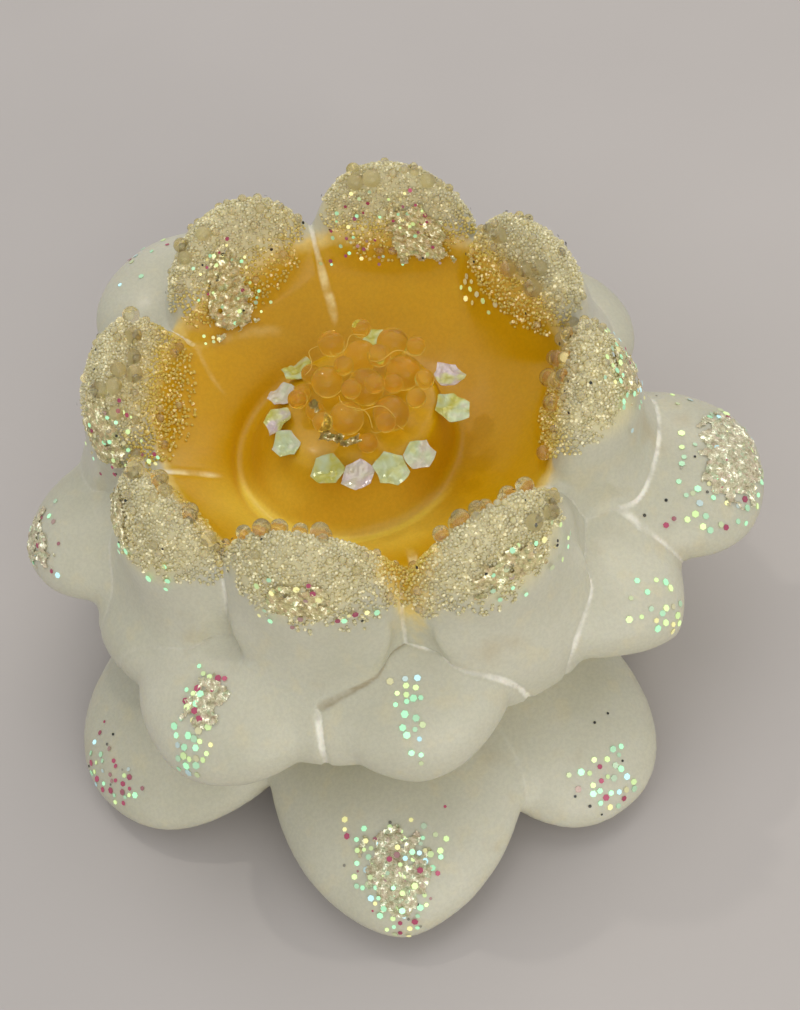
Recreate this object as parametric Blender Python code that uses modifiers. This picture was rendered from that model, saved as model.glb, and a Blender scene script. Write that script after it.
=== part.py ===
"""A blown glass water lily flower ornament.

One hollow glass body carries three whorls of petals around a deep cup. Clear beads and hexagonal
sequins are glued on the mound in the cup, a crust of small beads covers each inner petal's tip, and
a crimped metal cap with a wire loop closes the neck at the back. The flower stands on its flat foot.

Metres, +Z up. The origin is the middle of the foot, on the flower's axis. A bearing is an angle
round that axis, from +Y (the back) towards +X. Sizes below are in millimetres.
"""

from math import atan2, cos, hypot, pi, radians, sin, sqrt

import bmesh
import bpy
import numpy as np
from mathutils import Matrix, Vector

MM = 0.001

# The flower as a whole
HEIGHT = 45.5  # foot to the tips of the inner petals
WALL = 1.2  # glass thickness
GAP = 0.3  # clearance between pieces that touch

# The cup and its mound, measured from the inner petals' tips down
CUP_RADIUS = 23.0
CUP_RIM_DEPTH = 10.6
VALLEY_RADIUS = 12.3
VALLEY_DEPTH = 17.2
MOUND_RADIUS = 9.3
MOUND_DEPTH = 9.6
MOUND_DOME = 1.4
FOOT_RADIUS = 15.0

# Whorls: bearing of each petal, radius of its tip, height of its tip over the foot, half width, and
# for the lower whorls how the outline closes at the tip, from 0.3, blunt, to 0.8, pointed
INNER_PETALS = (
    (18.5, 27.0, 45.3, 11.6),
    (63.5, 25.0, 45.0, 11.0),
    (107.5, 25.8, 44.8, 11.2),
    (159, 27.2, 43.8, 12.0),
    (203.5, 25.8, 45.3, 11.6),
    (243, 27.2, 43.8, 11.4),
    (288, 27.6, 45.3, 11.6),
    (336, 27.2, 45.3, 11.6),
)
MIDDLE_PETALS = (
    (57, 36.5, 21.0, 12.0, 0.45),
    (109, 43.0, 21.0, 11.2, 0.36),
    (137, 39.6, 19.8, 12.2, 0.74),
    (184, 39.8, 20.0, 12.5, 0.6),
    (220, 42.4, 19.5, 12.5, 0.52),
    (269, 40.8, 22.8, 10.8, 0.55),
    (324, 40.5, 30.0, 11.5, 0.45),
)
WEBS = (  # glass between neighbours of the middle whorl, where their outlines run together
    (122, 35.0, 22.0, 9.0, 0.3),
    (160, 34.2, 20.0, 10.0, 0.3),
    (200, 37.4, 20.5, 10.0, 0.3),
    (242, 37.0, 21.0, 10.0, 0.3),
)
OUTER_PETALS = (
    (31, 41.0, 3.6, 12.5, 0.45),
    (68, 34.0, 4.0, 11.5, 0.45),
    (105, 31.5, 4.4, 10.5, 0.45),
    (156, 42.4, 2.8, 10.9, 0.4),
    (191, 48.6, 2.8, 14.7, 0.62),
    (241, 45.0, 2.8, 14.0, 0.42),
    (288, 38.5, 3.6, 12.5, 0.45),
    (341, 43.0, 3.6, 13.5, 0.45),
)

# Beads on the mound: plan place and diameter
BEADS = (
    (0.6, -0.2, 4.2),
    (5.0, 0.8, 4.0),
    (-2.2, -3.6, 3.8),
    (2.6, -4.4, 4.0),
    (0.8, 4.6, 3.8),
    (4.6, 5.0, 3.6),
    (-3.4, 2.2, 3.6),
    (-2.0, 6.4, 3.0),
    (2.8, 2.0, 2.6),
    (7.0, -1.6, 2.2),
    (7.0, 2.8, 2.2),
    (5.6, -4.2, 2.2),
    (-0.6, -6.8, 2.2),
    (-5.4, -0.8, 2.2),
    (-6.4, 2.4, 2.0),
    (-5.0, 4.8, 2.2),
    (1.8, -7.0, 2.2),
    (-4.8, -4.6, 2.2),
    (1.6, 7.0, 2.2),
    (3.6, -1.8, 2.2),
    (-1.0, -2.0, 2.2),
    (1.6, -2.2, 2.2),
    (-1.2, 2.0, 2.2),
    (-7.0, 0.6, 2.2),
)

# Sequins round the beads: bearing, turn in their own plane
SEQUINS = (
    (20, 10),
    (82, 35),
    (109, 0),
    (152, 20),
    (173, 50),
    (194, 5),
    (215, 40),
    (252, 15),
    (273, 30),
    (295, 0),
    (318, 45),
)
SEQUIN_ACROSS = 3.0
SEQUIN_THICK = 0.25
SEQUIN_TILT = 40.0
SEQUIN_SLIDE = 0.3  # from the mound's shoulder down its side

# The crusts over the inner petals' tips
CRUST_THICK = 0.8
CRUST_START = 0.88  # along the petal, from 0 at its root to 1 at its tip
CRUST_DROP = 0.14  # how much sooner it starts inside the cup
CRUST_NARROW = 0.04  # how much later it starts at the petal's sides

# The neck, its cap and the loop
NECK_BEARING = 8
NECK_HEIGHT = 18.5
NECK_RADIUS = 4.5
NECK_END = 34.8  # from the flower's axis
NECK_ROOT = 24.0  # where the neck starts, inside the wall
BORE_PAST = 4.0  # how far its bore runs on at both ends
CAP_WALL = 0.5
CAP_LENGTH = 4.4
CAP_LIP = 0.5
LEG_SPREAD = 1.5  # from the neck's centre line to each leg of the wire, at the cap
WIRE_RADIUS = 0.4
LOOP_RADIUS = 2.4

VOXEL = 0.95  # of the grid that fuses petals and core
VALLEY_ROUNDS = 8  # of raising the valleys between petals, one voxel's width at a time
VALLEY_TOP = 40.0  # height where that raising ends
BODY_SHARE = 0.08  # of that grid's faces that stay
HOLLOW_SHARE = 0.05
SHARP = 35  # edges over this many degrees stay sharp


def start():
    for obj in list(bpy.data.objects):
        bpy.data.objects.remove(obj, do_unlink=True)
    found = []
    for name in ("glass_water_lily_flower", "cutters"):
        collection = bpy.data.collections.new(name)
        bpy.context.scene.collection.children.link(collection)
        found.append(collection)
    return found


PARTS, CUTTERS = start()


def material(name, colour, roughness, metallic=0.0, transmission=0.0):
    made = bpy.data.materials.new(name)
    made.use_nodes = True
    shader = made.node_tree.nodes["Principled BSDF"]
    shader.inputs["Base Color"].default_value = (*colour, 1.0)
    shader.inputs["Roughness"].default_value = roughness
    shader.inputs["Metallic"].default_value = metallic
    shader.inputs["Transmission Weight"].default_value = transmission
    return made


PEARL_GLASS = material("pearl_glass", (0.84, 0.80, 0.68), 0.3)
CLEAR_GLASS = material("clear_glass", (0.95, 0.86, 0.6), 0.05, transmission=0.9)
BEAD_CRUST = material("bead_crust", (0.9, 0.88, 0.78), 0.15, transmission=0.5)
SEQUIN_FILM = material("sequin_film", (0.8, 0.95, 0.75), 0.2, metallic=0.4)
CAP_METAL = material("cap_metal", (0.8, 0.68, 0.4), 0.3, metallic=1.0)
WIRE_STEEL = material("wire_steel", (0.75, 0.75, 0.75), 0.25, metallic=1.0)


def add_object(name, mesh, finish=None, collection=None):
    obj = bpy.data.objects.new(name, mesh)
    (collection or PARTS).objects.link(obj)
    if finish:
        mesh.materials.append(finish)
    if collection is CUTTERS:
        obj.hide_render = True
        obj.display_type = "WIRE"
    return obj


def mesh_of(bm, name, smooth=True):
    bmesh.ops.recalc_face_normals(bm, faces=bm.faces)
    mesh = bpy.data.meshes.new(name)
    bm.to_mesh(mesh)
    bm.free()
    if smooth:
        mesh.shade_smooth()
        mesh.set_sharp_from_angle(angle=radians(SHARP))
    return mesh


def outward(bearing):
    """The level unit vector that points away from the axis at this bearing."""
    return Vector((sin(radians(bearing)), cos(radians(bearing)), 0.0))


def sideways(bearing):
    return Vector((cos(radians(bearing)), -sin(radians(bearing)), 0.0))


# ---- petals


class Petal:
    """A pillow that swells around a curved spine in the plane of one bearing.

    The spine is a quadratic curve through root and tip, bent towards elbow. Along it, t runs from 0
    to 1. The pillow is width to each side, upper towards the axis and lower away from it, and each
    swells as t**start * (1 - t)**end. The sides fall back on a circle of radius wrap.
    """

    def __init__(self, bearing, root, elbow, tip, width, upper, lower, ends, wrap):
        self.bearing = bearing
        self.root, self.elbow, self.tip = Vector(root), Vector(elbow), Vector(tip)
        self.width, self.upper, self.lower = width, upper, lower
        self.ends = ends
        self.wrap = wrap

    def spine(self, t):
        place = (1 - t) ** 2 * self.root + 2 * t * (1 - t) * self.elbow + t * t * self.tip
        along = (1 - t) * (self.elbow - self.root) + t * (self.tip - self.elbow)
        return place, along.normalized()

    def swell(self, t, start, end):
        peak = start / (start + end)
        most = peak**start * (1 - peak) ** end
        return max(t, 0.0) ** start * max(1 - t, 0.0) ** end / most

    def point(self, t, angle, inset=0.0):
        """The surface at t along the spine and this angle round it, 90 degrees being upper."""
        place, along = self.spine(t)
        wide, thick = (self.swell(t, *pair) for pair in self.ends)
        side = cos(angle)
        up = sin(angle)
        across = max(self.width - inset, 0.1) * wide * side
        depth = (self.upper if up > 0 else self.lower) - inset
        lift = max(depth, 0.1) * thick * up
        radius = place.x - along.y * lift - across**2 / (2 * self.wrap)
        height = place.y + along.x * lift
        return outward(self.bearing) * radius + sideways(self.bearing) * across + Vector((0, 0, height))

    def add_to(self, bm, inset=0.0):
        """A unit sphere stretched over the pillow, inset below its surface, tip pulled back too."""
        length = (self.tip - self.root).length
        reach = 1 - inset / length
        made = bmesh.ops.create_uvsphere(bm, u_segments=24, v_segments=18, radius=1.0)
        for vertex in made["verts"]:
            x, y, z = vertex.co
            angle = atan2(y, x)
            vertex.co = self.point(reach * (1 + z) / 2, angle, inset) * MM


def inner_petal(bearing, radius, height, width):
    return Petal(
        bearing,
        root=(radius - 19.0, 18.0),
        elbow=(radius + 3.2, 20.0),
        tip=(radius - 0.4, height),
        width=width,
        upper=7.2,
        lower=7.2,
        ends=((0.5, 0.42), (0.35, 0.64)),
        wrap=19.0,
    )


def middle_petal(bearing, radius, height, width, closing):
    return Petal(
        bearing,
        root=(12.0, 21.0),
        elbow=(radius - 9.0, height + 6.0),
        tip=(radius, height),
        width=width,
        upper=5.0,
        lower=4.6,
        ends=((0.5, closing), (0.5, 0.55)),
        wrap=34.0,
    )


def outer_petal(bearing, radius, height, width, closing):
    return Petal(
        bearing,
        root=(12.0, 9.5),
        elbow=(radius - 14.0, height + 7.0),
        tip=(radius, height),
        width=width,
        upper=4.4,
        lower=3.6,
        ends=((0.6, closing), (0.5, 0.5)),
        wrap=34.0,
    )


def apron(bearing, radius, height, width):
    """The lower point of an inner petal's outer face, which runs down between two middle petals."""
    return Petal(
        bearing,
        root=(radius + 0.5, height - 7.0),
        elbow=(radius + 5.2, height - 15.0),
        tip=(radius + 7.2, height - 22.5),
        width=width - 2.6,
        upper=0.9,
        lower=4.0,
        ends=((0.6, 1.0), (0.6, 0.5)),
        wrap=22.0,
    )


INNER = [inner_petal(*row) for row in INNER_PETALS]
APRONS = [apron(*row) for row in INNER_PETALS]
MIDDLE = [middle_petal(*row) for row in MIDDLE_PETALS + WEBS]
OUTER = [outer_petal(*row) for row in OUTER_PETALS]


# ---- the core, a turned shape


def core_profile(bottom):
    """Half section from the mound's top over the cup's rim and down to the foot, as (radius, height)."""
    points = [(0.0, HEIGHT - MOUND_DEPTH)]
    for step in range(1, 7):
        turn = step / 6 * pi / 2
        points.append((MOUND_RADIUS * sin(turn), HEIGHT - MOUND_DEPTH - MOUND_DOME * (1 - cos(turn))))
    valley = HEIGHT - VALLEY_DEPTH
    points += [
        (MOUND_RADIUS + 1.1, valley + 3.6),
        (VALLEY_RADIUS - 0.7, valley + 0.5),
        (VALLEY_RADIUS + 0.3, valley),
        (VALLEY_RADIUS + 1.6, valley + 0.3),
        (17.0, valley + 2.2),
        (CUP_RADIUS - 1.0, HEIGHT - CUP_RIM_DEPTH - 1.0),
        (CUP_RADIUS + 1.0, HEIGHT - CUP_RIM_DEPTH),
        (CUP_RADIUS + 1.9, HEIGHT - CUP_RIM_DEPTH - 1.4),
        (25.2, 29.5),
        (27.0, 23.0),
        (27.4, 16.0),
        (25.0, 10.0),
        (21.0, 5.0),
        (FOOT_RADIUS + 2.0, 1.2),
        (FOOT_RADIUS, bottom),
    ]
    return points + [(0.0, bottom)]


def moved_in(points, inset):
    """The same outline this far inside itself. Its ends stay on the axis."""
    moved = []
    for i, (radius, height) in enumerate(points):
        before = Vector(points[max(i - 1, 0)])
        after = Vector(points[min(i + 1, len(points) - 1)])
        along = (after - before).normalized()
        place = Vector((radius, height)) - inset * Vector((-along.y, along.x))
        moved.append((0.0 if radius == 0 else place.x, place.y))
    return moved


def turned(name, points, steps=48, finish=None):
    """A Screw of a half section, which runs down its outer side."""
    mesh = bpy.data.meshes.new(name)
    corners = [(radius * MM, 0, height * MM) for radius, height in points]
    mesh.from_pydata(corners, [(i, i + 1) for i in range(len(corners) - 1)], [])
    obj = add_object(name, mesh, finish)
    screw = obj.modifiers.new("turn", "SCREW")
    screw.axis = "Z"
    screw.steps = screw.render_steps = steps
    screw.use_merge_vertices = True
    screw.merge_threshold = 0.00001
    screw.use_smooth_shade = True
    return obj


def taken(obj):
    """The mesh that an object's modifiers make, and the object is removed."""
    bpy.context.view_layer.update()
    evaluated = obj.evaluated_get(bpy.context.evaluated_depsgraph_get())
    mesh = bpy.data.meshes.new_from_object(evaluated)
    bpy.data.objects.remove(obj, do_unlink=True)
    return mesh


# ---- the glass body


def fused(name, inset, collection, finish=None):
    """Core and petals, each inset below its surface, made one skin by a voxel grid."""
    core = turned("core", moved_in(core_profile(bottom=0.0 if inset else -1.0), inset))
    bm = bmesh.new()
    bm.from_mesh(taken(core))
    for petal in INNER + APRONS + MIDDLE + OUTER:
        petal.add_to(bm, inset)
    obj = add_object(name, mesh_of(bm, name), finish, collection)
    grid = obj.modifiers.new("fuse", "REMESH")
    grid.mode = "VOXEL"
    grid.voxel_size = VOXEL * MM
    grid.use_smooth_shade = True
    return obj


def averaged(values, ends, times):
    """Each vertex's row of values drawn towards its neighbours' mean, this many times."""
    here, there = ends
    count = np.bincount(here)[:, None]
    for _ in range(times):
        total = np.stack([np.bincount(here, column[there]) for column in values.T], 1)
        values = 0.4 * values + 0.6 * total / count
    return values


def filled(mesh):
    """Raises the valleys between petals, outside the cup and above the foot. Crests stay."""
    pairs = np.empty(len(mesh.edges) * 2, dtype=int)
    mesh.edges.foreach_get("vertices", pairs)
    pairs = pairs.reshape(-1, 2)
    ends = np.concatenate((pairs, pairs[:, ::-1])).T
    flat = np.empty(len(mesh.vertices) * 3)
    mesh.vertices.foreach_get("co", flat)
    places = flat.reshape(-1, 3)
    for _ in range(VALLEY_ROUNDS):
        normals = np.empty(places.size)
        mesh.vertex_normals.foreach_get("vector", normals)
        normals = normals.reshape(-1, 3)
        rise = ((averaged(places, ends, 2) - places) * normals).sum(1)
        radius, height = np.hypot(places[:, 0], places[:, 1]) / MM, places[:, 2] / MM
        share = np.clip((radius - CUP_RADIUS) / 3, 0, 1) * np.clip(height / 2, 0, 1)
        share *= np.clip((VALLEY_TOP - height) / 5, 0, 1)
        places = places + normals * (np.maximum(rise, 0) * share)[:, None]
        mesh.vertices.foreach_set("co", places.ravel())
        mesh.update()
    return mesh


def thinned(obj, ratio):
    fewer = obj.modifiers.new("thin out", "DECIMATE")
    fewer.ratio = ratio


def along_neck(from_axis):
    """The place on the neck's centre line this far from the flower's axis."""
    return (outward(NECK_BEARING) * from_axis + Vector((0, 0, NECK_HEIGHT))) * MM


def face_out(obj, place):
    """Moves an object to place with its own Z pointing out along the neck."""
    turn = outward(NECK_BEARING).to_track_quat("Z", "X").to_matrix().to_4x4()
    obj.matrix_world = Matrix.Translation(place) @ turn


def cylinder(name, radius, start_at, end_at):
    """A cutter along the neck between two distances from the flower's axis."""
    bm = bmesh.new()
    bmesh.ops.create_cone(
        bm,
        cap_ends=True,
        segments=32,
        radius1=radius * MM,
        radius2=radius * MM,
        depth=(end_at - start_at) * MM,
    )
    obj = add_object(name, mesh_of(bm, name), collection=CUTTERS)
    face_out(obj, along_neck((start_at + end_at) / 2))
    return obj


def cut(obj, cutter, operation="DIFFERENCE"):
    boolean = obj.modifiers.new(cutter.name, "BOOLEAN")
    boolean.operation = operation
    boolean.solver = "EXACT"
    boolean.object = cutter


def ground_cutter():
    bm = bmesh.new()
    bmesh.ops.create_cube(bm, size=1.0)
    bmesh.ops.scale(bm, vec=(0.15, 0.15, 0.01), verts=bm.verts)
    bmesh.ops.translate(bm, vec=(0, 0, -0.005), verts=bm.verts)
    return add_object("ground", mesh_of(bm, "ground", smooth=False), collection=CUTTERS)


def glass_body():
    body = add_object("glass_body", filled(taken(fused("rough_body", 0.0, PARTS, PEARL_GLASS))))
    thinned(body, BODY_SHARE)
    hollow = fused("hollow", WALL, CUTTERS)
    thinned(hollow, HOLLOW_SHARE)
    cut(body, cylinder("neck_tube", NECK_RADIUS, NECK_ROOT, NECK_END), "UNION")
    cut(body, hollow)
    cut(body, cylinder("neck_bore", NECK_RADIUS - WALL, NECK_ROOT - BORE_PAST, NECK_END + BORE_PAST))
    cut(body, ground_cutter())


# ---- the cap and its loop


def cap():
    """A sleeve over the neck with a flat end, pierced twice for the wire."""
    inner = NECK_RADIUS + GAP
    outer = inner + CAP_WALL
    end = NECK_END + GAP
    profile = [
        (0.0, end + CAP_WALL),
        (outer - CAP_WALL, end + CAP_WALL),
        (outer, end),
        (outer, end - CAP_LENGTH + CAP_LIP),
        (outer + CAP_LIP, end - CAP_LENGTH),
        (inner, end - CAP_LENGTH),
        (inner, end),
        (0.0, end),
    ]
    shell = turned("hanger_cap", profile, steps=32, finish=CAP_METAL)
    face_out(shell, along_neck(0))
    for side in (-1, 1):
        hole = cylinder(f"wire_hole_{side + 1}", WIRE_RADIUS + GAP + 0.05, end - 1, end + 1.5)
        hole.location += sideways(NECK_BEARING) * side * LEG_SPREAD * MM
        cut(shell, hole)


def loop():
    """One wire: two sprung legs in the neck and a round eye over the cap."""
    eye = NECK_END + GAP + CAP_WALL + 1.2 + LOOP_RADIUS
    start_angle = pi - 0.66
    route = [(-2.5, NECK_END - 7.0), (-2.0, NECK_END - 2.0), (-LEG_SPREAD, NECK_END + 0.3)]
    turns = 16
    for i in range(turns + 1):
        angle = -start_angle + 2 * start_angle * i / turns
        route.append((LOOP_RADIUS * sin(angle), eye + LOOP_RADIUS * cos(angle)))
    route += [(-x, y) for x, y in reversed(route[:3])]
    curve = bpy.data.curves.new("hanger_loop", "CURVE")
    curve.dimensions = "3D"
    spline = curve.splines.new("POLY")
    spline.points.add(len(route) - 1)
    for point, (across, out) in zip(spline.points, route):
        place = along_neck(out) + sideways(NECK_BEARING) * across * MM
        point.co = (*place, 1.0)
    curve.bevel_depth = WIRE_RADIUS * MM
    curve.bevel_resolution = 2
    curve.use_fill_caps = True
    curve.materials.append(WIRE_STEEL)
    PARTS.objects.link(bpy.data.objects.new("hanger_loop", curve))


# ---- glued trim


def mound_height(radius):
    share = min(radius / MOUND_RADIUS, 1.0)
    return HEIGHT - MOUND_DEPTH - MOUND_DOME * (1 - sqrt(1 - share * share))


def beads():
    """Each bead lies on the mound or on the beads before it, as low as it can."""
    placed = []
    for number, (x, y, across) in enumerate(BEADS, 1):
        r = across / 2
        z = mound_height(hypot(x, y)) + r + GAP
        for other, other_r in placed:
            apart = hypot(x - other.x, y - other.y)
            reach = r + other_r + GAP / 2
            if apart < reach:
                z = max(z, other.z + sqrt(reach**2 - apart**2))
        centre = Vector((x, y, z))
        placed.append((centre, r))
        bm = bmesh.new()
        bmesh.ops.create_uvsphere(bm, u_segments=8, v_segments=6, radius=r * MM)
        obj = add_object(f"bead_{number:02d}", mesh_of(bm, f"bead_{number:02d}"), CLEAR_GLASS)
        obj.location = centre * MM


def sequins():
    """Thin hexagons laid round the mound's shoulder."""
    seat_radius = MOUND_RADIUS * 0.985
    seat_height = mound_height(seat_radius)
    tilt = radians(SEQUIN_TILT)
    for number, (bearing, turn) in enumerate(SEQUINS, 1):
        bm = bmesh.new()
        bmesh.ops.create_cone(
            bm,
            cap_ends=True,
            segments=6,
            radius1=SEQUIN_ACROSS / 2 * MM,
            radius2=SEQUIN_ACROSS / 2 * MM,
            depth=SEQUIN_THICK * MM,
        )
        name = f"sequin_{number:02d}"
        obj = add_object(name, mesh_of(bm, name, smooth=False), SEQUIN_FILM)
        out, up = outward(bearing), Vector((0, 0, 1))
        normal = out * sin(tilt) + up * cos(tilt)
        down = out * cos(tilt) - up * sin(tilt)
        place = out * seat_radius + up * seat_height + normal * (GAP + 0.2) + down * SEQUIN_SLIDE
        frame = Matrix((down, normal.cross(down), normal)).transposed().to_4x4()
        spin = Matrix.Rotation(radians(turn), 4, "Z")
        obj.matrix_world = Matrix.Translation(place * MM) @ frame @ spin


def crusts():
    """A thin bed of beads over each inner petal's tip, reaching further down inside the cup."""
    around, rings = 16, 4
    for number, petal in enumerate(INNER, 1):
        bm = bmesh.new()
        tip = bm.verts.new(petal.point(1.0, 0) * MM)
        before = [tip] * around
        for ring in range(1, rings + 1):
            row = []
            for i in range(around):
                angle = 2 * pi * i / around
                edge = CRUST_START + CRUST_NARROW * cos(angle) ** 2
                edge -= CRUST_DROP * max(sin(angle), 0) ** 2
                t = 1 - (1 - edge) * (ring / rings) ** 1.6
                row.append(bm.verts.new(petal.point(t, angle) * MM))
            for i in range(around):
                j = (i + 1) % around
                corners = [before[i], row[i], row[j], before[j]]
                bm.faces.new(list(dict.fromkeys(corners)))
            before = row
        bmesh.ops.recalc_face_normals(bm, faces=bm.faces)
        bm.normal_update()
        if tip.normal.z < 0:
            bmesh.ops.reverse_faces(bm, faces=bm.faces)
            bm.normal_update()
        for vertex in bm.verts:
            vertex.co += vertex.normal * 2 * GAP * MM
        name = f"bead_crust_{number}"
        mesh = bpy.data.meshes.new(name)
        bm.to_mesh(mesh)
        bm.free()
        mesh.shade_smooth()
        skin = add_object(name, mesh, BEAD_CRUST).modifiers.new("bed", "SOLIDIFY")
        skin.thickness = CRUST_THICK * MM
        skin.offset = 1.0


glass_body()
cap()
loop()
beads()
sequins()
crusts()
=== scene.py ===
"""The looks of the blown glass water lily flower ornament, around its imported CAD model.

The glass body is made again as a fine skin from the same petals and core as the CAD solid. Single beads
replace the bead beds on the petal tips, and lacquer, glitter, film and threads of glue are added.

Lengths are in millimetres and are turned into metres by MM when a mesh is made. A bearing is an angle
round the flower's axis, from +Y (the back) towards +X.
"""

import random
from itertools import product
from math import atan2, cos, degrees, hypot, pi, radians, sin

import bmesh
import bpy
import numpy as np
from mathutils import Matrix, Vector, noise
from mathutils.bvhtree import BVHTree


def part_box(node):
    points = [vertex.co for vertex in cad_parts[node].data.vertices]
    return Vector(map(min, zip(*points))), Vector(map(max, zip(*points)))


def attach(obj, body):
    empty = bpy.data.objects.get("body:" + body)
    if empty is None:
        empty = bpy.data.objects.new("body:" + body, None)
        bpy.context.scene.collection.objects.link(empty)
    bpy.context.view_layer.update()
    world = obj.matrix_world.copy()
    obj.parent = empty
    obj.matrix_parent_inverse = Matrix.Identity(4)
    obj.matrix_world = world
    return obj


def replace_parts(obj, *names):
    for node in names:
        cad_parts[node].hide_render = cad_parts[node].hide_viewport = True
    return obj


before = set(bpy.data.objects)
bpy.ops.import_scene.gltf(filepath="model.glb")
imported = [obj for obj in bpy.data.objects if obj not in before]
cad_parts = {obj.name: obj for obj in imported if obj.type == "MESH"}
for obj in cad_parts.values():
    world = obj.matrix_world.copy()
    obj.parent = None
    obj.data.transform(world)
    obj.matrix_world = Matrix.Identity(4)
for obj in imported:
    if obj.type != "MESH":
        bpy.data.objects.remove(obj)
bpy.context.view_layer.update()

MM = 0.001

# ---- the flower's measures, as in the CAD model

HEIGHT = 45.5
CUP_RADIUS = 23.0
CUP_RIM_DEPTH = 10.6
VALLEY_RADIUS = 12.3
VALLEY_DEPTH = 17.2
MOUND_RADIUS = 9.3
MOUND_DEPTH = 9.6
MOUND_DOME = 1.4
FOOT_RADIUS = 15.0

# Bearing, radius of the tip, height of the tip, half width, and on the lower whorls the tip's closing
INNER_PETALS = (
    (18.5, 27.0, 45.3, 11.6),
    (63.5, 25.0, 45.0, 11.0),
    (107.5, 25.8, 44.8, 11.2),
    (159, 27.2, 43.8, 12.0),
    (203.5, 25.8, 45.3, 11.6),
    (243, 27.2, 43.8, 11.4),
    (288, 27.6, 45.3, 11.6),
    (336, 27.2, 45.3, 11.6),
)
MIDDLE_PETALS = (
    (57, 36.5, 21.0, 12.0, 0.45),
    (109, 43.0, 21.0, 11.2, 0.36),
    (137, 39.6, 19.8, 12.2, 0.74),
    (184, 39.8, 20.0, 12.5, 0.6),
    (220, 42.4, 19.5, 12.5, 0.52),
    (269, 40.8, 22.8, 10.8, 0.55),
    (324, 40.5, 30.0, 11.5, 0.45),
)
WEBS = (
    (122, 35.0, 22.0, 9.0, 0.3),
    (160, 34.2, 20.0, 10.0, 0.3),
    (200, 37.4, 20.5, 10.0, 0.3),
    (242, 37.0, 21.0, 10.0, 0.3),
)
OUTER_PETALS = (
    (31, 41.0, 3.6, 12.5, 0.45),
    (68, 34.0, 4.0, 11.5, 0.45),
    (105, 31.5, 4.4, 10.5, 0.45),
    (156, 42.4, 2.8, 10.9, 0.4),
    (191, 48.6, 2.8, 14.7, 0.62),
    (241, 45.0, 2.8, 14.0, 0.42),
    (288, 38.5, 3.6, 12.5, 0.45),
    (341, 43.0, 3.6, 13.5, 0.45),
)

NECK_BEARING = 8
NECK_HEIGHT = 18.5
NECK_RADIUS = 4.5
NECK_END = 34.8
NECK_ROOT = 24.0
GAP = 0.3
CAP_WALL = 0.5
CAP_LENGTH = 4.4
CAP_LIP = 0.5
LEG_SPREAD = 1.5
WIRE_RADIUS = 0.4
LOOP_RADIUS = 2.4

# ---- the skin's own measures

SKIN_VOXEL = 0.4
SKIN_FACES = 190000  # triangles left after thinning
VALLEY_ROUNDS = 8  # how often the valleys between petals are filled a little
WAVE_DEPTH = 0.12  # of the glass's own unevenness
MOAT_SHIFT = -2.6  # the moat round the mound lies off the axis, to the left

# Where two petals meet there is a crease, pressed into the skin and painted: a painted highlight line above
# 0, a painted shade line below
REACH = 5.5  # how far from a place its petals are looked for
LINE_WIDTH = 0.75
LINE_DEPTH = 0.35
LINE_FADE = (3.0, 5.2)  # a crease fades as the second petal gets this far away
CREASE_FROM = 15.5  # no creases nearer the axis
# Painted highlight strength of a crease line, by the two petals' whorls
CREASE_HIGHLIGHT_STRENGTH = np.array([[0.5, 0.35, 0.1], [0.35, 0.7, 0.2], [0.1, 0.2, 0.3]])  # by the two petals' whorls
# Crease strengths: a painted highlight line above 0, a painted shade line below
CREASE_HIGHLIGHTS_AND_SHADES = {  # strength between single petals, counted through the three whorls
    (0, 7): 1.0, (6, 7): 1.0, (3, 4): 1.0, (4, 5): 0.9, (5, 6): 0.8,
    (0, 1): 0.1, (1, 2): 0.1, (3, 11): 0.9, (4, 11): -0.8, (4, 12): 0.15,
    (11, 12): 1.0, (3, 10): 0.7, (2, 9): 0.8, (9, 10): 0.6, (10, 11): 0.3,
}

# ---- camera and light

VIEW_ELEVATION = 52.0
VIEW_ROLL = -13.5
VIEW_DISTANCE = 267.5
AIM_RIGHT = 1.22  # the view's middle, from the top of the flower's axis
AIM_DOWN = 18.0
LENS = 89.1
SENSOR = 36.0

LIGHTS = (  # name, place and size in metres, power, colour
    ("top_light", (0.1, 0.16, 0.62), 0.5, 0.6, (1.0, 0.96, 0.9)),
    ("back_light", (0.4, 0.45, 0.4), 0.35, 0.55, (1.0, 0.93, 0.86)),
    ("front_light", (0.1, -0.46, 0.25), 0.5, 0.95, (1.0, 0.98, 0.94)),
    ("lamp", (-0.2, 0.3, 0.6), 0.03, 0.35, (1.0, 0.97, 0.9)),
)
SKY_COLOUR = (0.93, 0.95, 1.0, 1.0)
SKY_STRENGTH = 0.62


def new_object(name, data):
    obj = bpy.data.objects.new(name, data)
    bpy.context.scene.collection.objects.link(obj)
    return obj


def camera():
    """A pinhole view from above the table, turned a little round its own axis."""
    elevation, roll = radians(VIEW_ELEVATION), radians(VIEW_ROLL)
    right = Vector((1, 0, 0))
    up = Vector((0, sin(elevation), cos(elevation)))
    back = Vector((0, -cos(elevation), sin(elevation)))
    target = Vector((0, 0, HEIGHT)) + right * AIM_RIGHT - up * AIM_DOWN
    data = bpy.data.cameras.new("camera")
    data.sensor_width = SENSOR
    data.lens = LENS
    data.clip_start = 0.01
    obj = new_object("camera", data)
    across = right * cos(roll) + up * sin(roll)
    upright = up * cos(roll) - right * sin(roll)
    turn = Matrix((across, upright, back)).transposed().to_4x4()
    obj.matrix_world = Matrix.Translation((target + back * VIEW_DISTANCE) * MM) @ turn
    bpy.context.scene.camera = obj


def soft_light(name, place, size, power, colour):
    """A round light that faces the middle of the scene."""
    data = bpy.data.lights.new(name, "AREA")
    data.shape = "DISK"
    data.size = size
    data.energy = power
    data.color = colour
    obj = new_object(name, data)
    obj.location = place
    obj.rotation_euler = (-obj.location).to_track_quat("-Z", "Y").to_euler()


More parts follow.
